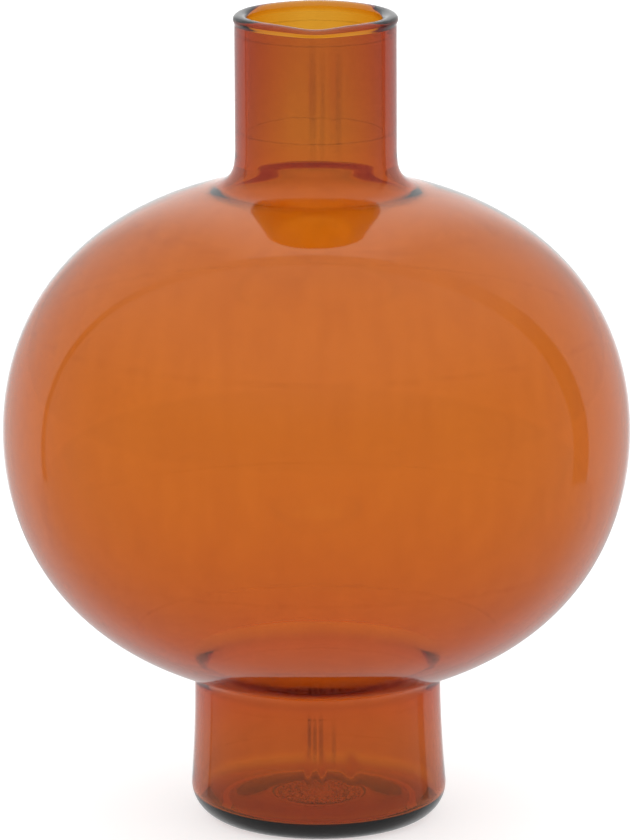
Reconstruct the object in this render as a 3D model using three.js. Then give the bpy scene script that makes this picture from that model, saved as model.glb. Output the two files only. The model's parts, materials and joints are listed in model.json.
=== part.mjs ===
// A round-bellied amber glass bud vase: one blown glass wall, from the table up
// a domed base, a hollow foot, a pinched waist, an oblate bulb, a straight neck
// and a rolled rim. Each region of the wall is its own closed solid, and
// neighbouring regions meet face to face on a cut straight through the glass.
//
// Millimetres, +Z up. The vase's axis is Z and the table is z = 0.

import * as THREE from "three";

// ---- driving dimensions ------------------------------------------------------

const HEIGHT = 203;                  // table to the top of the rim
const SEGMENTS = 40;                 // facets round the axis

// Bulb: two half ovals that share their widest circle.
const BULB_RADIUS = 77.75;           // outside, at the widest circle
const BULB_MIDDLE_Z = 98.35;         // height of the widest circle
const CROWN_HEIGHT = 64.3;           // widest circle to the crown, were it closed
const CROWN_FULLNESS = 0.103;        // 0 is an ellipse, more is squarer
const BOWL_DEPTH = 65.35;            // widest circle to the bottom, were it closed
const BOWL_FULLNESS = 0.098;
const BULB_WALL = 2.2;               // glass at the widest circle
const CROWN_WALL = 1.8;              // where the oval would close over the neck
const BOWL_WALL = 2.4;               // and under the bulb

// Neck and rim.
const NECK_RADIUS = 19.93;
const NECK_WALL = 2.85;              // from the rim down
const NECK_LOW_WALL = 2.5;           // at the neck's foot, where the bore is widest
const NECK_FLARE = 5;                // degrees, outside, where the neck meets the fillet
const NECK_FLARE_HEIGHT = 3.4;
const NECK_FILLET_TOP_Z = 166.5;     // outside, where the neck starts to spread into the bulb
const NECK_FILLET_REACH = 30;        // and how far out the spreading ends
const NECK_FILLET_TIGHTNESS = [0.72, 0.95];   // how far either end is drawn into the corner
const NECK_INNER_FILLET = 9;
const RIM_BEAD_WIDTH = 1.775;        // half of it: the fire-polished rim is thicker than the wall
const RIM_BEAD_HEIGHT = 1.3;         // from the bead's widest level to its top
const RIM_SWELL_HEIGHT = 1.4;        // below that level, where the wall swells into the bead

// Waist and foot.
const WAIST_RADIUS = 30.7;
const WAIST_WALL = 3.1;
const WAIST_FILLET = 3;
const WAIST_INNER_FILLET = 7;
const FOOT_FLARE = 5;                // degrees, outside, where the foot meets the base corner
const FOOT_WALL = 2.2;
const BASE_CORNER_RADIUS = 8.2;      // outside, from the foot's wall to the table

// Base: a dome of nearly even thickness that stands on a flat ring.
const FLOOR_Z = 6.2;                 // the vase's floor, inside, in the middle
const FLOOR_EDGE_Z = 5;              // and round it, next to the foot's wall
const FLOOR_CORNER_RADIUS = 2;       // inside, from the floor to the foot's wall
const CONTACT_INNER_RADIUS = 22;     // the ring that stands on the table starts here
const PUNT_HEIGHT = 2;               // the hollow under the base
const PAD_RADIUS = 11.4;             // the round pad pressed into the top of it
const PAD_HEIGHT = 2.4;
const PAD_BEVEL = 0.4;

// Cuts between neighbouring regions.
const BASE_CUT_Z = 13;
const FOOT_CUT_Z = 32;
const NECK_CUT_Z = 174;
const RIM_CUT_Z = 198;
const WAIST_CUT = 0.84;              // shares of the way from the widest circle
const BOWL_CUT = 0.36;               // to the fillet at the end of the half bulb
const BELLY_CUT = 0.36;
const SHOULDER_CUT = 0.8;

// ---- curves --------------------------------------------------------------------
// Every curve is a list of [radius, height] points.

const mix = (from, to, share) => from + (to - from) * share;
const smooth = (share) => share * share * (3 - 2 * share);

function arc(centreRadius, centreZ, radius, fromAngle, toAngle, steps) {
  return Array.from({ length: steps + 1 }, (_, i) => {
    const angle = mix(fromAngle, toAngle, i / steps);
    return [centreRadius + radius * Math.cos(angle), centreZ + radius * Math.sin(angle)];
  });
}

// A half oval, its point and its outward unit normal at one angle. Fullness
// pushes it out between the widest circle and the end.
function halfBulbPoint(bulb, angle) {
  const sine = Math.sin(angle);
  const cosine = Math.cos(angle);
  const fullness = 1 + bulb.fullness * sine ** 2;
  const outwards = bulb.radius * sine * (2 * bulb.fullness * cosine ** 2 - fullness);
  const upwards = bulb.height * cosine;
  const length = Math.hypot(outwards, upwards);
  return {
    point: [bulb.radius * cosine * fullness, bulb.height * sine],
    normal: [upwards / length, -outwards / length],
  };
}

// The half bulb from its widest circle to where the fillet starts, and the
// fillet. Heights count from the widest circle.
function halfBulb(bulb, wallCuts, wallSteps, beforeFillet, drawFillet) {
  let near = 0;
  let far = Math.PI / 2;
  for (let i = 0; i < 50; i += 1) {
    const middle = (near + far) / 2;
    if (beforeFillet(halfBulbPoint(bulb, middle))) near = middle;
    else far = middle;
  }
  const stretches = [];
  const stops = [0, ...wallCuts, 1];
  for (let i = 0; i + 1 < stops.length; i += 1) {
    stretches.push(Array.from({ length: wallSteps[i] + 1 }, (_, k) => (
      halfBulbPoint(bulb, near * mix(stops[i], stops[i + 1], k / wallSteps[i])).point
    )));
  }
  return { stretches, fillet: drawFillet(halfBulbPoint(bulb, near)) };
}

// A half bulb that an arc joins to a straight tube.
function roundFillet(bulb, tubeRadius, radius, wallCuts, wallSteps, filletSteps) {
  const centreRadius = tubeRadius + radius;
  const beforeArc = ({ point, normal }) => point[0] + radius * normal[0] > centreRadius;
  const drawArc = ({ point, normal }) => {
    const touch = Math.atan2(-normal[1], -normal[0]);
    return arc(centreRadius, point[1] + radius * normal[1], radius, touch, -Math.PI, filletSteps);
  };
  return halfBulb(bulb, wallCuts, wallSteps, beforeArc, drawArc);
}

// A half bulb that a soft curve joins to a flared tube. The curve leaves the
// oval at the radius reach and ends on the tube at the point end. Both of its
// handles lie on the way to the corner where the two tangents cross.
function softFillet(bulb, reach, end, flare, tightness, wallCuts, wallSteps, filletSteps) {
  const beforeReach = ({ point }) => point[0] > reach;
  const drawCurve = ({ point, normal }) => {
    const start = new THREE.Vector2(...point);
    const inwards = new THREE.Vector2(-normal[1], normal[0]);
    const upwards = new THREE.Vector2(-Math.sin(flare), Math.cos(flare));
    const stop = new THREE.Vector2(...end);
    const way = stop.clone().sub(start).cross(upwards) / inwards.cross(upwards);
    const corner = start.clone().addScaledVector(inwards, way);
    const curve = new THREE.CubicBezierCurve(
      start,
      start.clone().lerp(corner, tightness[0]),
      stop.clone().lerp(corner, tightness[1]),
      stop,
    );
    return curve.getPoints(filletSteps).map(({ x, y }) => [x, y]);
  };
  return halfBulb(bulb, wallCuts, wallSteps, beforeReach, drawCurve);
}

const raise = (points, sign = 1) => points.map(([r, z]) => [r, BULB_MIDDLE_Z + sign * z]);
const backwards = (points) => [...points].reverse();

// ---- the wall's curves, outside and inside ------------------------------------------

const crownSteps = [5, 6, 2];
const bowlSteps = [5, 6, 2];
const crownCuts = [BELLY_CUT, SHOULDER_CUT];
const bowlCuts = [BOWL_CUT, WAIST_CUT];

// A tube that flares like a parabola to the given angle grows by this much.
const flareGrowth = (degrees, height) => (
  Math.tan(THREE.MathUtils.degToRad(degrees)) * height / 2
);

const neckFlare = THREE.MathUtils.degToRad(NECK_FLARE);
const neckFootRadius = NECK_RADIUS + flareGrowth(NECK_FLARE, NECK_FLARE_HEIGHT);
const neckFoot = [neckFootRadius, NECK_FILLET_TOP_Z - BULB_MIDDLE_Z];
const crown = { radius: BULB_RADIUS, height: CROWN_HEIGHT, fullness: CROWN_FULLNESS };
const bowl = { radius: BULB_RADIUS, height: BOWL_DEPTH, fullness: BOWL_FULLNESS };
const hollow = (half, wall) => (
  { ...half, radius: BULB_RADIUS - BULB_WALL, height: half.height - wall }
);

const crownOutside = softFillet(
  crown,
  NECK_FILLET_REACH,
  neckFoot,
  neckFlare,
  NECK_FILLET_TIGHTNESS,
  crownCuts,
  crownSteps,
  6,
);
const crownInside = roundFillet(
  hollow(crown, CROWN_WALL),
  NECK_RADIUS - NECK_LOW_WALL,
  NECK_INNER_FILLET,
  crownCuts,
  crownSteps,
  5,
);
const bowlOutside = roundFillet(bowl, WAIST_RADIUS, WAIST_FILLET, bowlCuts, bowlSteps, 3);
const bowlInside = roundFillet(
  hollow(bowl, BOWL_WALL),
  WAIST_RADIUS - WAIST_WALL,
  WAIST_INNER_FILLET,
  bowlCuts,
  bowlSteps,
  4,
);

// Outside, the neck flares downwards into its fillet.
const neckFlareZ = raise(crownOutside.fillet).at(-1)[1];

function neckOutsidePoint(z) {
  const share = Math.max(0, 1 - (z - neckFlareZ) / NECK_FLARE_HEIGHT);
  return [mix(NECK_RADIUS, neckFootRadius, share ** 2), z];
}

// Inside, the bore widens downwards: the wall is thinnest above the fillet.
const boreFootZ = raise(crownInside.fillet).at(-1)[1];

function borePoint(z) {
  const share = smooth((RIM_CUT_Z - z) / (RIM_CUT_Z - boreFootZ));
  return [NECK_RADIUS - mix(NECK_WALL, NECK_LOW_WALL, share), z];
}

// Outside, the foot flares downwards into the base corner.
const waistOutsideZ = raise(bowlOutside.fillet, -1).at(-1)[1];
const waistInsideZ = raise(bowlInside.fillet, -1).at(-1)[1];
const footFlare = THREE.MathUtils.degToRad(FOOT_FLARE);
const cornerTopZ = BASE_CORNER_RADIUS * (1 + Math.sin(footFlare));
const footRadius = WAIST_RADIUS + flareGrowth(FOOT_FLARE, waistOutsideZ - cornerTopZ);
const cornerCentreRadius = footRadius - BASE_CORNER_RADIUS * Math.cos(footFlare);

function footOutsidePoint(z) {
  const share = (waistOutsideZ - z) / (waistOutsideZ - cornerTopZ);
  return [mix(WAIST_RADIUS, footRadius, share ** 2), z];
}

function footInsidePoint(z) {
  const share = (waistInsideZ - z) / (waistInsideZ - FLOOR_EDGE_Z);
  return [mix(WAIST_RADIUS - WAIST_WALL, footRadius - FOOT_WALL, share), z];
}

const heights = (from, to, steps) => (
  Array.from({ length: steps + 1 }, (_, i) => mix(from, to, i / steps))
);

// The rim: the straight wall swells quickly into a bead, a half ellipse in section.
const beadCentreRadius = NECK_RADIUS - NECK_WALL / 2;
const beadZ = HEIGHT - RIM_BEAD_HEIGHT;

function swell(side) {
  const curve = heights(beadZ - RIM_SWELL_HEIGHT, beadZ, 3).map((z) => {
    const share = smooth(1 - (beadZ - z) / RIM_SWELL_HEIGHT);
    const halfWall = mix(NECK_WALL / 2, RIM_BEAD_WIDTH, share);
    return [beadCentreRadius + side * halfWall, z];
  });
  return [[beadCentreRadius + side * NECK_WALL / 2, RIM_CUT_Z], ...curve];
}

const quarter = Math.PI / 2;

function bead(side) {
  return arc(0, 0, 1, 0, quarter, 3).map(([across, up]) => (
    [beadCentreRadius + side * RIM_BEAD_WIDTH * across, beadZ + RIM_BEAD_HEIGHT * up]
  ));
}

// An S-shaped slope from one level to another, the same at every angle.
function slope(fromRadius, toRadius, fromZ, toZ, steps) {
  return heights(0, 1, steps).map((share) => (
    [mix(fromRadius, toRadius, share), mix(fromZ, toZ, smooth(share))]
  ));
}

// The base's underside, from the axis out to the corner.
const baseUnderside = [
  [0, PAD_HEIGHT],
  [PAD_RADIUS - PAD_BEVEL, PAD_HEIGHT],
  ...slope(PAD_RADIUS, CONTACT_INNER_RADIUS, PUNT_HEIGHT, 0, 5),
  ...arc(cornerCentreRadius, BASE_CORNER_RADIUS, BASE_CORNER_RADIUS, -quarter, footFlare, 5),
];

// The vase's floor, from the axis out to the foot's wall.
const floorCornerTop = footInsidePoint(FLOOR_EDGE_Z + FLOOR_CORNER_RADIUS);
const floorEdgeRadius = floorCornerTop[0] - FLOOR_CORNER_RADIUS;
const floorCorner = arc(
  floorEdgeRadius,
  FLOOR_EDGE_Z + FLOOR_CORNER_RADIUS,
  FLOOR_CORNER_RADIUS,
  -quarter,
  0,
  4,
);
const vaseFloor = [
  [0, FLOOR_Z],
  ...slope(PAD_RADIUS, floorEdgeRadius, FLOOR_Z, FLOOR_EDGE_Z, 5),
  ...floorCorner.slice(1),
];

// ---- regions, each an outside and an inside curve from bottom to top ---------------

const regions = {
  base_disc: {
    colour: 0x7a4524,
    outside: [...baseUnderside, footOutsidePoint(BASE_CUT_Z)],
    inside: [...vaseFloor, footInsidePoint(BASE_CUT_Z)],
  },
  foot_wall: {
    colour: 0x9d4f23,
    outside: heights(BASE_CUT_Z, FOOT_CUT_Z, 3).map(footOutsidePoint),
    inside: heights(BASE_CUT_Z, FOOT_CUT_Z, 3).map(footInsidePoint),
  },
  waist_ring: {
    colour: 0x8f4a22,
    outside: [
      footOutsidePoint(FOOT_CUT_Z),
      ...backwards(raise(bowlOutside.fillet, -1)),
      ...backwards(raise(bowlOutside.stretches[2], -1)).slice(1),
    ],
    inside: [
      footInsidePoint(FOOT_CUT_Z),
      ...backwards(raise(bowlInside.fillet, -1)),
      ...backwards(raise(bowlInside.stretches[2], -1)).slice(1),
    ],
  },
  lower_bowl: {
    colour: 0xb76128,
    outside: backwards(raise(bowlOutside.stretches[1], -1)),
    inside: backwards(raise(bowlInside.stretches[1], -1)),
  },
  belly: {
    colour: 0xc36e2d,
    outside: [
      ...backwards(raise(bowlOutside.stretches[0], -1)),
      ...raise(crownOutside.stretches[0]).slice(1),
    ],
    inside: [
      ...backwards(raise(bowlInside.stretches[0], -1)),
      ...raise(crownInside.stretches[0]).slice(1),
    ],
  },
  shoulder: {
    colour: 0xc97738,
    outside: raise(crownOutside.stretches[1]),
    inside: raise(crownInside.stretches[1]),
  },
  neck_collar: {
    colour: 0xb4693d,
    outside: [
      ...raise(crownOutside.stretches[2]),
      ...raise(crownOutside.fillet).slice(1),
      ...heights(neckFlareZ, NECK_CUT_Z, 2).slice(1).map(neckOutsidePoint),
    ],
    inside: [
      ...raise(crownInside.stretches[2]),
      ...raise(crownInside.fillet).slice(1),
      borePoint(NECK_CUT_Z),
    ],
  },
  neck_tube: {
    colour: 0xa85226,
    outside: heights(NECK_CUT_Z, RIM_CUT_Z, 3).map(neckOutsidePoint),
    inside: heights(NECK_CUT_Z, RIM_CUT_Z, 3).map(borePoint),
  },
  rim_bead: {
    colour: 0xc98a3c,
    outside: [...swell(1), ...bead(1).slice(1)],
    inside: [...swell(-1), ...bead(-1).slice(1, -1)],
  },
};

// ---- solids ----------------------------------------------------------------------

// One closed solid of revolution: up the outside, across the cut and down the inside.
function turnedSolid(outside, inside) {
  const outline = [...outside, ...backwards(inside)];
  const closesOnAxis = outline[0][0] === 0 && outline.at(-1)[0] === 0;
  if (!closesOnAxis) outline.push(outline[0]);
  const points = outline.map(([r, z]) => new THREE.Vector2(r, z));
  return new THREE.LatheGeometry(points, SEGMENTS).rotateX(Math.PI / 2);
}

const vase = new THREE.Group();

for (const [name, region] of Object.entries(regions)) {
  const glass = new THREE.MeshStandardMaterial({
    color: region.colour,
    roughness: 0.04,
    metalness: 0,
  });
  const mesh = new THREE.Mesh(turnedSolid(region.outside, region.inside), glass);
  mesh.name = name;
  vase.add(mesh);
}

export default vase;
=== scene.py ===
"""A round-bellied amber glass bud vase on a pale studio floor.

The glass is one blown wall. Each CAD region of that wall is replaced by a fine,
closed mesh of the same region, with the small irregularities of hand-worked
glass. Neighbouring regions meet on a hair-thin joint that light crosses freely,
so the wall looks like the single piece it is.

Everything is in metres, in the CAD frame: +Z up, the table at z = 0.
"""

import json
import math

import bpy
import numpy as np
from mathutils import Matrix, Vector


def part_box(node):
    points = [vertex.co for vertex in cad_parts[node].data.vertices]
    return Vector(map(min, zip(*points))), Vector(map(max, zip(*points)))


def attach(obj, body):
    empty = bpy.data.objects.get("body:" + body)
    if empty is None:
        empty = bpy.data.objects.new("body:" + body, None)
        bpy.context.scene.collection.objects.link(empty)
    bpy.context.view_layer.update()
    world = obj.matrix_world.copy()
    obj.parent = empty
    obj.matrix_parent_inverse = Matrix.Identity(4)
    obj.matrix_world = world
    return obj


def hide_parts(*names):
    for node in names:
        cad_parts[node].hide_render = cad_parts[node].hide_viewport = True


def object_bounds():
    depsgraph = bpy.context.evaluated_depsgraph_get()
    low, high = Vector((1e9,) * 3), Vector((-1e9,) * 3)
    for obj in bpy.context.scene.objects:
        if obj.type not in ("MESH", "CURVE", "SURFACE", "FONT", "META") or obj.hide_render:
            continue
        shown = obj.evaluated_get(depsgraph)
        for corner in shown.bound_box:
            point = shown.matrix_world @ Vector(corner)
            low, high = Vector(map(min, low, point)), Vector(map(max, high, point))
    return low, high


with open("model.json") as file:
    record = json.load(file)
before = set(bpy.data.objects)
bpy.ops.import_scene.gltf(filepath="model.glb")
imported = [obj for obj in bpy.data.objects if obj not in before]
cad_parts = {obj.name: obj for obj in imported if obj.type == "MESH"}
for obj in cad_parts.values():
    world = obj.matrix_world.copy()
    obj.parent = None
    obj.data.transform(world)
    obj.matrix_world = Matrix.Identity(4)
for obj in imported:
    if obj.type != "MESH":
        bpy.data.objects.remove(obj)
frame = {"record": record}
CAD_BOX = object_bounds()

MM = 0.001

# ---- sizes, from the frame where a node's box gives them -----------------------------

HEIGHT = CAD_BOX[1].z
BULB_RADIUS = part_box("belly")[1].x
NECK_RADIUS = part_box("neck_tube")[1].x
RIM_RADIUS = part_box("rim_bead")[1].x
BASE_CUT_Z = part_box("foot_wall")[0].z
FOOT_CUT_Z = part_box("foot_wall")[1].z
NECK_CUT_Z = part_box("neck_tube")[0].z
RIM_CUT_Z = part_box("neck_tube")[1].z

BULB_MIDDLE_Z = 98.35 * MM       # height of the widest circle
CROWN_HEIGHT = 64.3 * MM         # widest circle to the crown, were it closed
CROWN_FULLNESS = 0.103           # 0 is an ellipse, more is squarer
BOWL_DEPTH = 65.35 * MM
BOWL_FULLNESS = 0.098
BULB_WALL = 2.2 * MM
CROWN_WALL = 1.8 * MM            # where the oval would close over the neck
BOWL_WALL = 2.4 * MM             # and under the bulb

NECK_WALL = 2.85 * MM
NECK_LOW_WALL = 2.5 * MM         # just above the fillet
NECK_FLARE = math.radians(5)
NECK_FLARE_HEIGHT = 3.4 * MM
NECK_FILLET_TOP_Z = 166.5 * MM   # where the neck starts to spread into the bulb
NECK_FILLET_REACH = 30 * MM      # and how far out the spreading ends
NECK_FILLET_TIGHTNESS = (0.72, 0.95)     # at the bulb and at the neck, 1 is sharpest
NECK_INNER_FILLET = 9 * MM
RIM_BEAD_WIDTH = RIM_RADIUS - NECK_RADIUS + NECK_WALL / 2      # half of it
RIM_BEAD_HEIGHT = 1.3 * MM       # from the bead's widest level to its top
RIM_SWELL_HEIGHT = 1.4 * MM      # below that level, where the wall swells into the bead

WAIST_RADIUS = 30.7 * MM
WAIST_WALL = 3.1 * MM
WAIST_FILLET = 3 * MM
WAIST_INNER_FILLET = 7 * MM
FOOT_FLARE = math.radians(5)
FOOT_WALL = 2.2 * MM
BASE_CORNER_RADIUS = 8.2 * MM

FLOOR_Z = 6.2 * MM               # inside, in the middle
FLOOR_EDGE_Z = 5 * MM            # and round it, next to the foot's wall
FLOOR_CORNER_RADIUS = 2 * MM
CONTACT_INNER_RADIUS = 22 * MM
PUNT_HEIGHT = 2 * MM             # the hollow under the base
PAD_RADIUS = 11.4 * MM           # the round pad pressed into the top of it
PAD_HEIGHT = 2.4 * MM
PAD_BEVEL = 0.4 * MM

# Cuts across the bulb, as shares of the way from the widest circle to the fillet.
WAIST_CUT = 0.84
BOWL_CUT = 0.36
BELLY_CUT = 0.36
SHOULDER_CUT = 0.8

SEGMENTS = 256     # round the axis
JOINT_GAP = 0.004 * MM                   # between neighbouring regions
BULB_STEPS = 80                          # along half the bulb, from its widest circle


# ---- camera --------------------------------------------------------------------------

CAMERA_PLACE = (0, -1.6, 0.4822)
CAMERA_AIM = (0, 0, 0.1008)
CAMERA_LENS = 377.5              # mm, on a sensor 36 mm wide


def make_camera():
    """A long lens from a little above, as a product is photographed."""
    data = bpy.data.cameras.new("camera")
    data.sensor_width = 36
    data.sensor_fit = "HORIZONTAL"
    data.lens = CAMERA_LENS
    camera = bpy.data.objects.new("camera", data)
    camera.location = CAMERA_PLACE
    forward = Vector(CAMERA_AIM) - camera.location
    camera.rotation_euler = forward.to_track_quat("-Z", "Y").to_euler()
    bpy.context.collection.objects.link(camera)
    bpy.context.scene.camera = camera


make_camera()


# ---- node helpers ----------------------------------------------------------------------

def add_node(tree, kind, inputs=None, **settings):
    """A node of that kind. Inputs are plain values or the sockets that feed them."""
    node = tree.nodes.new(kind)
    for name, value in settings.items():
        setattr(node, name, value)
    for key, value in (inputs or {}).items():
        if isinstance(value, bpy.types.NodeSocket):
            tree.links.new(value, node.inputs[key])
        else:
            node.inputs[key].default_value = value
    return node


def math_node(tree, operation, *values):
    return add_node(tree, "ShaderNodeMath", dict(enumerate(values)), operation=operation).outputs[0]


def mix_values(tree, factor, first, second):
    node = add_node(tree, "ShaderNodeMix", {"Factor": factor, "A": first, "B": second})
    return node.outputs["Result"]


def mix_colour(tree, factor, first, second):
    node = tree.nodes.new("ShaderNodeMix")
    node.data_type = "RGBA"
    tree.links.new(factor, node.inputs["Factor"])
    colour_inputs = [socket for socket in node.inputs if socket.type == "RGBA"]
    for socket, colour in zip(colour_inputs, (first, second)):
        socket.default_value = (*colour, 1.0)
    return next(socket for socket in node.outputs if socket.type == "RGBA")


def ramp_between(tree, value, low, high, to_low=0.0, to_high=1.0):
    """Smoothly from to_low where value is low to to_high where it is high."""
    node = add_node(
        tree,
        "ShaderNodeMapRange",
        {"Value": value, "From Min": low, "From Max": high, "To Min": to_low, "To Max": to_high},
        interpolation_type="SMOOTHSTEP",
    )
    return node.outputs["Result"]


# ---- studio --------------------------------------------------------------------------------

DOME_LIGHT = 1.06          # what lights the floor
BACKDROP_GLOW = 1.08       # white backdrop, straight behind the vase
BACKDROP_SIDE_GLOW = 0.7   # and off to the sides
CEILING_GLOW = 0.8
FRONT_GLOW = 0.5           # the room on the camera's side
LOW_GLOW = 0.5             # the room below the table's edge
GAP_GLOW = 0.28            # the dim gap between backdrop and front
BACKDROP_EDGE = 0.465      # where the backdrop ends, as a direction's Y
TABLE_EDGE = -0.28         # how far down a direction clears the table, as its Z


def make_world():
    """A white backdrop and ceiling, a dimmer front, and a dim gap between them.

    Light that has bounced off the floor or the like sees an even dome instead,
    so the floor is lit evenly.
    """
    world = bpy.data.worlds.new("studio")
    world.use_nodes = True
    tree = world.node_tree
    tree.nodes.clear()
    direction = add_node(tree, "ShaderNodeTexCoord").outputs["Generated"]
    parts = add_node(tree, "ShaderNodeSeparateXYZ", {0: direction})
    x, y, z = (parts.outputs[axis] for axis in "XYZ")

    # The gap is narrow on the -X side and wide on the +X side, and leans back overhead.
    overhead = math_node(tree, "MAXIMUM", z, 0.0)
    beyond = math_node(tree, "SUBTRACT", y, BACKDROP_EDGE)
    beyond = math_node(tree, "MULTIPLY_ADD", x, 0.02, beyond)
    beyond = math_node(tree, "MULTIPLY_ADD", overhead, 0.1, beyond)
    gap_width = math_node(tree, "MULTIPLY_ADD", x, 0.06, 0.1)
    into_gap = math_node(tree, "ADD", beyond, gap_width)

    front = ramp_between(tree, z, 0.2, 0.9, FRONT_GLOW, CEILING_GLOW)
    gap = ramp_between(tree, z, 0.3, 0.9, GAP_GLOW, 0.85 * CEILING_GLOW)
    sideways = math_node(tree, "ABSOLUTE", x)
    back = ramp_between(tree, sideways, 0.15, 0.36, BACKDROP_GLOW, BACKDROP_SIDE_GLOW)
    low = ramp_between(tree, y, 0.3, 0.7, LOW_GLOW, BACKDROP_SIDE_GLOW)
    upper = mix_values(tree, ramp_between(tree, into_gap, -0.012, 0.012), front, gap)
    upper = mix_values(tree, ramp_between(tree, beyond, -0.012, 0.012), upper, back)
    above_table = ramp_between(tree, z, TABLE_EDGE - 0.02, TABLE_EDGE + 0.02)
    seen = mix_values(tree, above_table, low, upper)

    path = add_node(tree, "ShaderNodeLightPath")
    lighting = math_node(tree, "GREATER_THAN", path.outputs["Diffuse Depth"], 0.5)
    strength = mix_values(tree, lighting, seen, DOME_LIGHT)
    background = add_node(tree, "ShaderNodeBackground", {"Color": (1, 1, 1, 1), "Strength": strength})
    output = add_node(tree, "ShaderNodeOutputWorld")
    tree.links.new(background.outputs[0], output.inputs["Surface"])
    bpy.context.scene.world = world


FLOOR_LIGHT = 0.33         # the sheet glows a little, painted light as if lit from below
FLOOR_LIGHT_NEAR = 0.27    # and less next to the vase, a painted shadow round it
FLOOR_SEEN_LIGHT = 0.3     # added where the camera sees it directly
FLOOR_NEAR = 0.03          # metres from the vase's axis where the one glow starts
FLOOR_FAR = 0.4            # and the other is reached
FLOOR_RADIUS = 12


def make_floor():
    """A wide, pale, matt, softly lit sheet. The glass mirrors the studio below, not the sheet."""
    material = bpy.data.materials.new("pale_sheet")
    material.use_nodes = True
    tree = material.node_tree
    shader = tree.nodes["Principled BSDF"]
    place = add_node(tree, "ShaderNodeTexCoord").outputs["Object"]
    grain = add_node(tree, "ShaderNodeTexNoise", {"Vector": place, "Scale": 900, "Detail": 3})
    tone = ramp_between(tree, grain.outputs["Fac"], 0.3, 0.7, 0.71, 0.74)
    tree.links.new(tone, shader.inputs["Base Color"])
    shader.inputs["Roughness"].default_value = 0.9
    shader.inputs["Specular IOR Level"].default_value = 0.1
    distance = add_node(tree, "ShaderNodeVectorMath", {0: place}, operation="LENGTH").outputs["Value"]
    lit = ramp_between(tree, distance, FLOOR_NEAR, FLOOR_FAR, FLOOR_LIGHT_NEAR, FLOOR_LIGHT)
    seen = add_node(tree, "ShaderNodeLightPath").outputs["Is Camera Ray"]
    glow = math_node(tree, "MULTIPLY_ADD", seen, FLOOR_SEEN_LIGHT, lit)
    shader.inputs["Emission Color"].default_value = (1, 1, 1, 1)
    tree.links.new(glow, shader.inputs["Emission Strength"])
    bpy.ops.mesh.primitive_circle_add(vertices=96, radius=FLOOR_RADIUS, fill_type="NGON")
    floor = bpy.context.object
    floor.name = "floor"
    floor.data.materials.append(material)
    floor.visible_glossy = False


def make_studio():
    make_world()
    make_floor()
    scene = bpy.context.scene
    scene.view_settings.view_transform = "Standard"
    scene.cycles.max_bounces = 40
    scene.cycles.transmission_bounces = 40
    scene.cycles.glossy_bounces = 16
    scene.cycles.transparent_max_bounces = 16
    scene.cycles.sample_clamp_indirect = 10


make_studio()


# ---- glass -----------------------------------------------------------------------------------

GLASS_IOR = 1.5
# Light lost per metre of glass, red, green and blue: the strongest sets the
# density, and the colour keeps the rest.
ABSORPTION = (107.0, 405.0, 1350.0)
NECK_PAINTED_SHADE = 0.85          # painted shade: the neck's tint, a little darker than the bulb's
NECK_SHADE_STARTS_Z = 152 * MM  # where that painted shade comes in, going up
NECK_SHADE_FULL_Z = 176 * MM
WAVE_HEIGHT = 0.03 * MM
# Dark streaks in the front wall, painted reflections: where along X, half width,
# middle height, half height, and how much light they let through.
PAINTED_REFLECTION_STREAKS = (
    (-1.7 * MM, 0.7 * MM, 28 * MM, 7 * MM, 0.62),
    (-0.4 * MM, 0.7 * MM, 27 * MM, 7 * MM, 0.66),
    (1.1 * MM, 0.8 * MM, 27 * MM, 8 * MM, 0.7),
    (4.2 * MM, 0.8 * MM, 26 * MM, 7 * MM, 0.8),
    (-0.9 * MM, 1.3 * MM, 184 * MM, 20 * MM, 0.84),
    (1.4 * MM, 1 * MM, 182 * MM, 18 * MM, 0.88),
    (5.2 * MM, 1.2 * MM, 184 * MM, 18 * MM, 0.84),
)
STREAK_DEPTH = 5 * MM      # the painted reflections fade in over this depth in front of the axis
# Smoky dots on the pad under the base, in a band round its middle.
PAD_DOTS_KEPT = 0.12
PAD_DOTS_PER_METRE = 430
PAD_DOTS_RANDOMNESS = 0.35
PAD_DOT_SIZE = (0.2, 0.45)  # solid to the first, gone at the second, as shares of a cell
PAD_DOTS_RADIUS = 7 * MM
PAD_DOTS_REACH = 4.4 * MM
JOINT = "joint"            # face attribute, 1 on the cut faces between regions


def near(tree, value, middle, reach):
    """1 where value is close to middle, 0 from reach away."""
    off = math_node(tree, "ABSOLUTE", math_node(tree, "SUBTRACT", value, middle))
    return ramp_between(tree, off, 0.2 * reach, reach, 1.0, 0.0)


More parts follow.
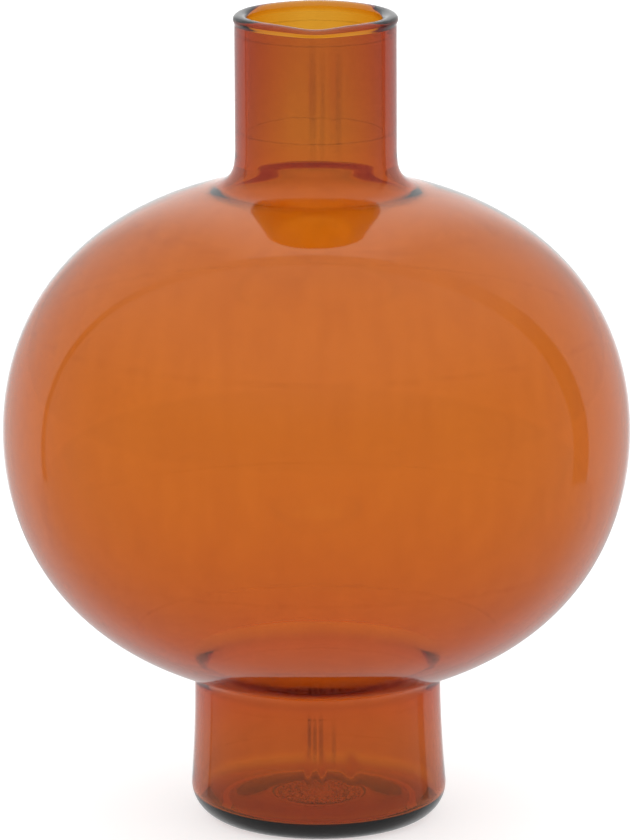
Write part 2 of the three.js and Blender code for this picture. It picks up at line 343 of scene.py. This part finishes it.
def painted_reflections_and_dots(tree, place, height):
    """Where the painted reflection streaks and the dots on the pad lie, as a value from 0 to 1, and
    what each lets through.
    """
    parts = add_node(tree, "ShaderNodeSeparateXYZ", {0: place})
    flat = add_node(tree, "ShaderNodeVectorMath", {0: place, 1: (1, 1, 0)}, operation="MULTIPLY")
    length = add_node(tree, "ShaderNodeVectorMath", {0: flat.outputs[0]}, operation="LENGTH")
    forward = math_node(tree, "MULTIPLY", parts.outputs["Y"], -1.0)
    marks = []
    # Each streak is a painted reflection, darkening the front wall only.
    for x, half_width, middle, half_height, kept in PAINTED_REFLECTION_STREAKS:
        across = near(tree, parts.outputs["X"], x, half_width)
        along = near(tree, height, middle, half_height)
        at_front = ramp_between(tree, forward, 0.0, STREAK_DEPTH)
        extent = math_node(tree, "MULTIPLY", across, along)
        marks.append((math_node(tree, "MULTIPLY", extent, at_front), kept))
    cells = add_node(
        tree,
        "ShaderNodeTexVoronoi",
        {
            "Vector": flat.outputs[0],
            "Scale": PAD_DOTS_PER_METRE,
            "Randomness": PAD_DOTS_RANDOMNESS,
        },
    )
    dots = ramp_between(tree, cells.outputs["Distance"], *PAD_DOT_SIZE, 1.0, 0.0)
    in_rings = near(tree, length.outputs["Value"], PAD_DOTS_RADIUS, PAD_DOTS_REACH)
    on_pad = ramp_between(tree, height, PAD_HEIGHT + 0.5 * MM, PAD_HEIGHT + MM, 1.0, 0.0)
    extent = math_node(tree, "MULTIPLY", math_node(tree, "MULTIPLY", dots, in_rings), on_pad)
    marks.append((extent, PAD_DOTS_KEPT))
    return marks


def amber_glass(name):
    """Clear amber glass, fire-polished, with faint streaks, smoky dots, painted shade on the neck,
    painted reflections in the front wall and slow waves.
    """
    material = bpy.data.materials.new(name)
    material.use_nodes = True
    tree = material.node_tree
    shader = tree.nodes["Principled BSDF"]
    output = tree.nodes["Material Output"]
    shader.inputs["Transmission Weight"].default_value = 1.0
    place = add_node(tree, "ShaderNodeTexCoord").outputs["Object"]

    # Streaks of slightly different melt, drawn out along the vase's height.
    drawn_out = add_node(tree, "ShaderNodeMapping", {"Vector": place, "Scale": (1, 1, 0.12)})
    streaks = add_node(
        tree,
        "ShaderNodeTexNoise",
        {"Vector": drawn_out.outputs[0], "Scale": 160, "Detail": 2, "Roughness": 0.45},
    )
    streaked = ramp_between(tree, streaks.outputs["Fac"], 0.35, 0.7)
    tint = mix_colour(tree, streaked, (1.0, 1.0, 1.0), (0.97, 0.95, 0.93))
    height = add_node(tree, "ShaderNodeSeparateXYZ", {0: place}).outputs["Z"]
    # Painted shade: the glass's colour is darkened towards the top of the neck.
    painted_light_and_dots = ramp_between(tree, height, NECK_SHADE_STARTS_Z, NECK_SHADE_FULL_Z, 1.0, NECK_PAINTED_SHADE)
    # Painted reflections as dark streaks in the front wall, and the dots on the pad.
    for extent, kept in painted_reflections_and_dots(tree, place, height):
        painted_light_and_dots = math_node(tree, "MULTIPLY", painted_light_and_dots, mix_values(tree, extent, 1.0, kept))
    darkened_tint = add_node(tree, "ShaderNodeVectorMath", {0: tint, "Scale": painted_light_and_dots}, operation="SCALE")
    tree.links.new(darkened_tint.outputs[0], shader.inputs["Base Color"])

    # A fire-polished skin, a touch duller where it was handled.
    smears = add_node(tree, "ShaderNodeTexNoise", {"Vector": place, "Scale": 45, "Detail": 4})
    dulling = ramp_between(tree, smears.outputs["Fac"], 0.5, 0.75, 0.0, 0.035)
    tree.links.new(dulling, shader.inputs["Roughness"])

    # Slow waves in the skin.
    waves = add_node(
        tree, "ShaderNodeTexNoise", {"Vector": drawn_out.outputs[0], "Scale": 70, "Detail": 1}
    )
    bump = add_node(
        tree,
        "ShaderNodeBump",
        {"Strength": 1.0, "Distance": WAVE_HEIGHT, "Height": waves.outputs["Fac"]},
    )
    tree.links.new(bump.outputs["Normal"], shader.inputs["Normal"])

    # The cut faces between regions bend and mirror no light.
    joint = add_node(tree, "ShaderNodeAttribute", attribute_name=JOINT).outputs["Fac"]
    tree.links.new(mix_values(tree, joint, GLASS_IOR, 1.0), shader.inputs["IOR"])

    density = max(ABSORPTION)
    body = add_node(tree, "ShaderNodeVolumeAbsorption", {"Density": density})
    kept = [1 - loss / density for loss in ABSORPTION]
    body.inputs["Color"].default_value = (*kept, 1.0)
    tree.links.new(body.outputs[0], output.inputs["Volume"])
    return material


# ---- outlines: lists of (radius, height) ---------------------------------------------------

def smooth(share):
    share = np.clip(share, 0, 1)
    return share**2 * (3 - 2 * share)


def arc(centre_radius, centre_z, radius, from_angle, to_angle, steps):
    angles = np.linspace(from_angle, to_angle, steps + 1)
    return np.column_stack(
        (centre_radius + radius * np.cos(angles), centre_z + radius * np.sin(angles))
    )


def line(start, end, steps):
    return np.linspace(start, end, steps + 1)


def half_bulb_point(bulb, angle):
    """Point and outward unit normal of a half oval that fullness pushes out."""
    sine, cosine = np.sin(angle), np.cos(angle)
    fullness = 1 + bulb["fullness"] * sine**2
    outwards = bulb["radius"] * sine * (2 * bulb["fullness"] * cosine**2 - fullness)
    upwards = bulb["height"] * cosine
    length = np.hypot(outwards, upwards)
    point = np.array((bulb["radius"] * cosine * fullness, bulb["height"] * sine))
    return point, np.array((upwards, -outwards)) / length


def half_bulb(bulb, cuts, wall_steps, fillet_start, fillet):
    """Stretches of the oval from the widest circle to the fillet, and the fillet itself."""
    near, far = 0.0, math.pi / 2
    for _ in range(50):
        middle = (near + far) / 2
        if fillet_start(*half_bulb_point(bulb, middle)) > 0:
            near = middle
        else:
            far = middle
    stretches = []
    stops = [0, *cuts, 1]
    for start, end in zip(stops, stops[1:]):
        steps = max(2, round(wall_steps * (end - start)))
        angles = near * np.linspace(start, end, steps + 1)
        stretches.append(np.array([half_bulb_point(bulb, angle)[0] for angle in angles]))
    return stretches, fillet(*half_bulb_point(bulb, near))


def round_fillet(bulb, tube_radius, radius, cuts, wall_steps, fillet_steps):
    """A half bulb that an arc joins to a straight tube."""
    centre_radius = tube_radius + radius

    def until_arc(point, normal):
        return point[0] + radius * normal[0] - centre_radius

    def along_arc(point, normal):
        touch = math.atan2(-normal[1], -normal[0])
        centre_z = point[1] + radius * normal[1]
        return arc(centre_radius, centre_z, radius, touch, -math.pi, fillet_steps)

    return half_bulb(bulb, cuts, wall_steps, until_arc, along_arc)


def soft_fillet(bulb, reach, end, flare, tightness, cuts, wall_steps, fillet_steps):
    """A half bulb that a soft curve joins to a flared tube.

    The curve leaves the oval at the radius reach and ends on the tube at the
    point end. Tightness, at either end, draws it into the corner between them.
    """
    def until_reach(point, _):
        return point[0] - reach

    def along_curve(point, normal):
        inwards = np.array((-normal[1], normal[0]))
        downwards = np.array((math.sin(flare), -math.cos(flare)))
        way = np.linalg.solve(np.column_stack((inwards, -downwards)), np.array(end) - point)
        corner = point + inwards * way[0]
        handles = (
            point + (corner - point) * tightness[0],
            np.array(end) + (corner - np.array(end)) * tightness[1],
        )
        t = np.linspace(0, 1, fillet_steps + 1)[:, None]
        return (
            (1 - t) ** 3 * point
            + 3 * (1 - t) ** 2 * t * handles[0]
            + 3 * (1 - t) * t**2 * handles[1]
            + t**3 * np.array(end)
        )

    return half_bulb(bulb, cuts, wall_steps, until_reach, along_curve)


def above_middle(points):
    return points + (0, BULB_MIDDLE_Z)


def below_middle(points):
    """The same, turned downwards, and listed from the bottom up."""
    return (points * (1, -1) + (0, BULB_MIDDLE_Z))[::-1]


def flare_growth(flare, height):
    return math.tan(flare) * height / 2


def joined(*curves):
    """One curve from several that meet end to end."""
    return np.vstack([curves[0], *(curve[1:] for curve in curves[1:])])


# ---- the wall's outline ------------------------------------------------------------------

def wall_outline():
    """The whole section of the wall as one curve, and where each region lies on it.

    The curve runs from under the base's middle outwards, up the outside, over
    the rim, down the inside and back to the axis on the vase's floor. A region
    is a list of stretches of it, each a pair of indices into the curve.
    """
    crown_cuts = (BELLY_CUT, SHOULDER_CUT)
    bowl_cuts = (BOWL_CUT, WAIST_CUT)
    neck_foot_radius = NECK_RADIUS + flare_growth(NECK_FLARE, NECK_FLARE_HEIGHT)
    crown = {"height": CROWN_HEIGHT, "radius": BULB_RADIUS, "fullness": CROWN_FULLNESS}
    bowl = {"height": BOWL_DEPTH, "radius": BULB_RADIUS, "fullness": BOWL_FULLNESS}
    thinner = {"radius": BULB_RADIUS - BULB_WALL}
    crown_hollow = crown | thinner | {"height": CROWN_HEIGHT - CROWN_WALL}
    bowl_hollow = bowl | thinner | {"height": BOWL_DEPTH - BOWL_WALL}
    neck_foot = (neck_foot_radius, NECK_FILLET_TOP_Z - BULB_MIDDLE_Z)

    crown_out, neck_fillet_out = soft_fillet(
        crown,
        NECK_FILLET_REACH,
        neck_foot,
        NECK_FLARE,
        NECK_FILLET_TIGHTNESS,
        crown_cuts,
        BULB_STEPS,
        30,
    )
    crown_in, neck_fillet_in = round_fillet(
        crown_hollow, NECK_RADIUS - NECK_LOW_WALL, NECK_INNER_FILLET, crown_cuts, BULB_STEPS, 16
    )
    bowl_out, waist_fillet_out = round_fillet(
        bowl, WAIST_RADIUS, WAIST_FILLET, bowl_cuts, BULB_STEPS, 10
    )
    bowl_in, waist_fillet_in = round_fillet(
        bowl_hollow, WAIST_RADIUS - WAIST_WALL, WAIST_INNER_FILLET, bowl_cuts, BULB_STEPS, 12
    )
    neck_fillet_out, neck_fillet_in = above_middle(neck_fillet_out), above_middle(neck_fillet_in)
    waist_fillet_out = below_middle(waist_fillet_out)
    waist_fillet_in = below_middle(waist_fillet_in)

    # Foot, outside and inside.
    waist_z_out, waist_z_in = waist_fillet_out[0][1], waist_fillet_in[0][1]
    corner_top_z = BASE_CORNER_RADIUS * (1 + math.sin(FOOT_FLARE))
    foot_radius = WAIST_RADIUS + flare_growth(FOOT_FLARE, waist_z_out - corner_top_z)
    corner_centre_radius = foot_radius - BASE_CORNER_RADIUS * math.cos(FOOT_FLARE)

    def foot_out(z_from, z_to, steps):
        z = np.linspace(z_from, z_to, steps + 1)
        share = (waist_z_out - z) / (waist_z_out - corner_top_z)
        return np.column_stack((WAIST_RADIUS + (foot_radius - WAIST_RADIUS) * share**2, z))

    def foot_in(z_from, z_to, steps):
        z = np.linspace(z_from, z_to, steps + 1)
        share = (waist_z_in - z) / (waist_z_in - FLOOR_EDGE_Z)
        top, bottom = WAIST_RADIUS - WAIST_WALL, foot_radius - FOOT_WALL
        return np.column_stack((top + (bottom - top) * share, z))

    # Neck and rim, outside and inside.
    neck_flare_z = neck_fillet_out[-1][1]
    bead_radius = NECK_RADIUS - NECK_WALL / 2
    bead_z = HEIGHT - RIM_BEAD_HEIGHT

    def neck_out_curve(z_from, z_to, steps):
        z = np.linspace(z_from, z_to, steps + 1)
        share = np.clip(1 - (z - neck_flare_z) / NECK_FLARE_HEIGHT, 0, 1)
        return np.column_stack((NECK_RADIUS + (neck_foot_radius - NECK_RADIUS) * share**2, z))

    def neck_in_curve(z_from, z_to, steps):
        """The bore, which widens downwards: its wall is thinnest above the fillet."""
        z = np.linspace(z_from, z_to, steps + 1)
        share = smooth((RIM_CUT_Z - z) / (RIM_CUT_Z - neck_fillet_in[-1][1]))
        return np.column_stack((NECK_RADIUS - NECK_WALL + (NECK_WALL - NECK_LOW_WALL) * share, z))

    quarter = math.pi / 2

    def rim(side):
        """Up the straight wall, over the swell and the bead to its top."""
        z = np.linspace(RIM_CUT_Z, bead_z, 33)
        swelling = smooth(1 - (bead_z - z) / RIM_SWELL_HEIGHT)
        half_wall = NECK_WALL / 2 + (RIM_BEAD_WIDTH - NECK_WALL / 2) * swelling
        wall = np.column_stack((bead_radius + side * half_wall, z))
        angle = np.linspace(0, quarter, 17)
        bead = np.column_stack((
            bead_radius + side * RIM_BEAD_WIDTH * np.cos(angle),
            bead_z + RIM_BEAD_HEIGHT * np.sin(angle),
        ))
        return joined(wall, bead)

    punt_share = np.linspace(0, 1, 25)
    punt = np.column_stack((
        PAD_RADIUS + (CONTACT_INNER_RADIUS - PAD_RADIUS) * punt_share,
        PUNT_HEIGHT * (1 - smooth(punt_share)),
    ))
    underside = joined(
        line((0, PAD_HEIGHT), (PAD_RADIUS - PAD_BEVEL, PAD_HEIGHT), 60),
        line((PAD_RADIUS - PAD_BEVEL, PAD_HEIGHT), (PAD_RADIUS, PUNT_HEIGHT), 4),
        punt,
        line((CONTACT_INNER_RADIUS, 0), (corner_centre_radius, 0), 6),
        arc(corner_centre_radius, BASE_CORNER_RADIUS, BASE_CORNER_RADIUS, -quarter, FOOT_FLARE, 24),
    )
    floor_corner_top = foot_in(FLOOR_EDGE_Z + FLOOR_CORNER_RADIUS, BASE_CUT_Z, 1)[0]
    floor_corner_radius = floor_corner_top[0] - FLOOR_CORNER_RADIUS
    floor_corner = arc(
        floor_corner_radius, floor_corner_top[1], FLOOR_CORNER_RADIUS, -quarter, 0, 16
    )
    dome = np.column_stack((
        PAD_RADIUS + (floor_corner_radius - PAD_RADIUS) * punt_share,
        FLOOR_EDGE_Z + (FLOOR_Z - FLOOR_EDGE_Z) * (1 - smooth(punt_share)),
    ))
    outside = {
        "base_disc": joined(underside, foot_out(corner_top_z, BASE_CUT_Z, 4)),
        "foot_wall": foot_out(BASE_CUT_Z, FOOT_CUT_Z, 16),
        "waist_ring": joined(
            foot_out(FOOT_CUT_Z, waist_z_out, 6), waist_fillet_out, below_middle(bowl_out[2])
        ),
        "lower_bowl": below_middle(bowl_out[1]),
        "belly": joined(below_middle(bowl_out[0]), above_middle(crown_out[0])),
        "shoulder": above_middle(crown_out[1]),
        "neck_collar": joined(
            above_middle(crown_out[2]),
            neck_fillet_out,
            neck_out_curve(neck_flare_z, NECK_CUT_Z, 12),
        ),
        "neck_tube": neck_out_curve(NECK_CUT_Z, RIM_CUT_Z, 20),
        "rim_bead": rim(1),
    }
    inside = {
        "base_disc": joined(
            line((0, FLOOR_Z), (PAD_RADIUS, FLOOR_Z), 20),
            dome,
            floor_corner,
            foot_in(floor_corner_top[1], BASE_CUT_Z, 4),
        ),
        "foot_wall": foot_in(BASE_CUT_Z, FOOT_CUT_Z, 16),
        "waist_ring": joined(
            foot_in(FOOT_CUT_Z, waist_z_in, 8), waist_fillet_in, below_middle(bowl_in[2])
        ),
        "lower_bowl": below_middle(bowl_in[1]),
        "belly": joined(below_middle(bowl_in[0]), above_middle(crown_in[0])),
        "shoulder": above_middle(crown_in[1]),
        "neck_collar": joined(
            above_middle(crown_in[2]),
            neck_fillet_in,
            neck_in_curve(neck_fillet_in[-1][1], NECK_CUT_Z, 10),
        ),
        "neck_tube": neck_in_curve(NECK_CUT_Z, RIM_CUT_Z, 20),
        "rim_bead": rim(-1),
    }
    names = list(outside)
    curves = [(name, outside[name]) for name in names]
    curves += [(name, inside[name][::-1]) for name in reversed(names)]
    regions = {name: [] for name in names}
    outline = [curves[0][1][:1]]
    start = 0
    for name, curve in curves:
        end = start + len(curve) - 1
        regions[name].append((start, end))
        outline.append(curve[1:])
        start = end
    return np.vstack(outline), regions


# ---- the marks of hand work ------------------------------------------------------------------

# The bulb and the foot are thicker at the front and back than at the sides, the
# neck the other way round.
WALL_UNEVENNESS = 0.3 * MM
NECK_UNEVENNESS = -0.25 * MM
CROWN_Z = 150 * MM             # where the one starts to turn into the other
# Tool marks inside the wall, as extra thickness: bearing and half width in
# degrees, middle height, half height and thickness in mm.
TOOL_MARKS = (
    (-92, 3, 187, 16, 0.25),
    (-75, 4, 187, 18, 0.3),
    (-110, 8, 185, 18, -0.15),
    (84, 5, 180, 16, 0.2),
    (-95, 1.2, 21, 9, 0.6),
    (-88, 1.2, 21, 9, 0.6),
    (-74, 3, 20, 6, 0.3),
)
LEAN_LOW = 0.7 * MM            # how far the foot leans to +X
LEAN_HIGH = -0.25 * MM         # and the neck
LIP_DIP = 0.8 * MM             # the rim sags most at the front, where the gather was cut off
LIP_DIP_WIDTH = 0.35           # radians
LIP_WAVE = 0.2 * MM
LIP_LUMP = 0.6 * MM            # and is thickest inside at +X, where the bead was started
LIP_SOFT_HEIGHT = 3.7 * MM     # the part of the rim that was soft enough to sag
FRONT = -math.pi / 2
DOT_RINGS = ((9.4 * MM, 26), (6.9 * MM, 18), (4.4 * MM, 11))     # radius and number of dots
DOT_RADIUS = 0.62 * MM
DOT_HEIGHT = 1.2 * MM


def around(angle, centre):
    """How far one angle is from another, the short way round."""
    return (angle - centre + math.pi) % (2 * math.pi) - math.pi


def pressed_dots(radius, angle):
    """Height of the rings of plain dots that stand on the pad under the base."""
    height = np.zeros_like(radius * angle)
    for ring_radius, count in DOT_RINGS:
        pitch = 2 * math.pi / count
        along = ring_radius * ((angle + pitch / 2) % pitch - pitch / 2)
        distance = np.hypot(along, radius - ring_radius)
        height = np.maximum(height, DOT_HEIGHT * np.clip(1 - (distance / DOT_RADIUS) ** 2, 0, 1))
    return height


def extra_thickness(angle, z):
    """How much thicker the wall is than its turned outline."""
    neck_share = smooth((z - CROWN_Z) / (NECK_CUT_Z - CROWN_Z))
    unevenness = WALL_UNEVENNESS + (NECK_UNEVENNESS - WALL_UNEVENNESS) * neck_share
    thickness = -unevenness * np.cos(2 * angle)
    for bearing, half_width, middle, half_height, mark in TOOL_MARKS:
        across = around(angle, math.radians(bearing)) / math.radians(half_width)
        along = (z - middle * MM) / (half_height * MM)
        thickness = thickness + mark * MM * np.exp(-(across**2)) * smooth(1 - abs(along))
    from_floor = smooth(z / BASE_CUT_Z)
    from_rim = smooth((HEIGHT - z) / LIP_SOFT_HEIGHT)
    lump = LIP_LUMP * np.exp(-(around(angle, 0) ** 2) * 4)
    lump = lump * smooth((z - HEIGHT) / (1.5 * LIP_SOFT_HEIGHT) + 1) * smooth((HEIGHT - z) / MM)
    return thickness * from_floor * from_rim + lump


def hand_worked(radius, angle, z, inside):
    """Positions of the turned outline's points after the glassmaker's hand."""
    radius = radius - inside * extra_thickness(angle, z)
    on_pad = (abs(z - PAD_HEIGHT) < 0.1 * MM) & (radius < PAD_RADIUS)
    z = z - np.where(on_pad, pressed_dots(radius, angle), 0)

    softness = smooth((z - (HEIGHT - LIP_SOFT_HEIGHT)) / LIP_SOFT_HEIGHT)
    sag = LIP_DIP * np.exp(-((around(angle, FRONT) / LIP_DIP_WIDTH) ** 2))
    sag = sag + LIP_WAVE * (0.5 + 0.3 * np.cos(2 * angle + 0.6) + 0.2 * np.cos(5 * angle + 2.0))
    z = z - softness * sag

    below = (1 - z / BULB_MIDDLE_Z) ** 2
    lean = np.where(z < BULB_MIDDLE_Z, LEAN_LOW, LEAN_HIGH) * np.minimum(below, 1)
    return np.stack((radius * np.cos(angle) + lean, radius * np.sin(angle), z), axis=-1)


# ---- meshes --------------------------------------------------------------------------------------

def turned_grid(outline):
    """The whole wall as a grid of points, one row per outline point, and its normals."""
    angle = np.linspace(0, 2 * math.pi, SEGMENTS, endpoint=False)[None, :]
    radius, z = outline[:, :1], outline[:, 1:]
    inside = (np.arange(len(outline)) > np.argmax(outline[:, 1]))[:, None]
    points = hand_worked(radius, angle, z, inside)
    round_way = np.roll(points, -1, axis=1) - np.roll(points, 1, axis=1)
    outline_way = np.gradient(points, axis=0)
    normals = np.cross(round_way, outline_way)
    normals[0] = (0, 0, -1)
    normals[-1] = (0, 0, 1)
    normals /= np.linalg.norm(normals, axis=2, keepdims=True)
    along = outline_way / np.linalg.norm(outline_way, axis=2, keepdims=True)
    return points, normals, along


def region_mesh(name, stretches, grid):
    """One region of the wall as a closed mesh, with its cut faces marked as joints."""
    points, normals, along = grid
    last = len(points) - 1
    vertices, vertex_normals, rows, joint_after = [], [], [], []
    for start, end in stretches:
        for k in range(start, end + 1):
            first_vertex = len(vertices)
            if k in (0, last):
                vertices.append(points[k, 0])
                vertex_normals.append(normals[k, 0])
                rows.append(np.full(SEGMENTS, first_vertex))
            else:
                shift = JOINT_GAP / 2 * ((k == start) - (k == end))
                vertices.extend(points[k] + along[k] * shift)
                vertex_normals.extend(normals[k])
                rows.append(first_vertex + np.arange(SEGMENTS))
            joint_after.append(k == end)

    faces, face_is_joint = [], []
    for row, above, is_joint in zip(rows, rows[1:] + rows[:1], joint_after):
        if row[0] == row[1] and above[0] == above[1]:
            continue
        row_next, above_next = np.roll(row, -1), np.roll(above, -1)
        if row[0] == row[1]:
            corners = (row, above_next, above)
        elif above[0] == above[1]:
            corners = (row, row_next, above)
        else:
            corners = (row, row_next, above_next, above)
        faces += np.column_stack(corners).tolist()
        face_is_joint += [is_joint] * SEGMENTS

    mesh = bpy.data.meshes.new(name)
    mesh.from_pydata([tuple(v) for v in vertices], [], faces)
    mesh.attributes.new(JOINT, "FLOAT", "FACE")
    mesh.attributes[JOINT].data.foreach_set("value", np.array(face_is_joint, float))
    mesh.shade_smooth()
    loop_normals = []
    for polygon, is_joint in zip(mesh.polygons, face_is_joint):
        for vertex in polygon.vertices:
            loop_normals.append(polygon.normal if is_joint else vertex_normals[vertex])
    mesh.normals_split_custom_set(loop_normals)
    return mesh


def make_vase():
    outline, regions = wall_outline()
    grid = turned_grid(outline)
    slots = {part["node"]: part["material_slot"] for part in frame["record"]["subparts"]}
    finishes = {
        "amber_glass": amber_glass("amber_glass"),
        "thick_amber_glass": amber_glass("thick_amber_glass"),
    }
    for node, stretches in regions.items():
        joined_over = stretches[0][1] == stretches[1][0]
        if joined_over:
            stretches = [(stretches[0][0], stretches[1][1])]
        mesh = region_mesh(f"{node}_glass", stretches, grid)
        mesh.materials.append(finishes[slots[node]])
        piece = bpy.data.objects.new(f"{node}_glass", mesh)
        bpy.context.collection.objects.link(piece)
        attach(piece, "root")
        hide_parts(node)


make_vase()
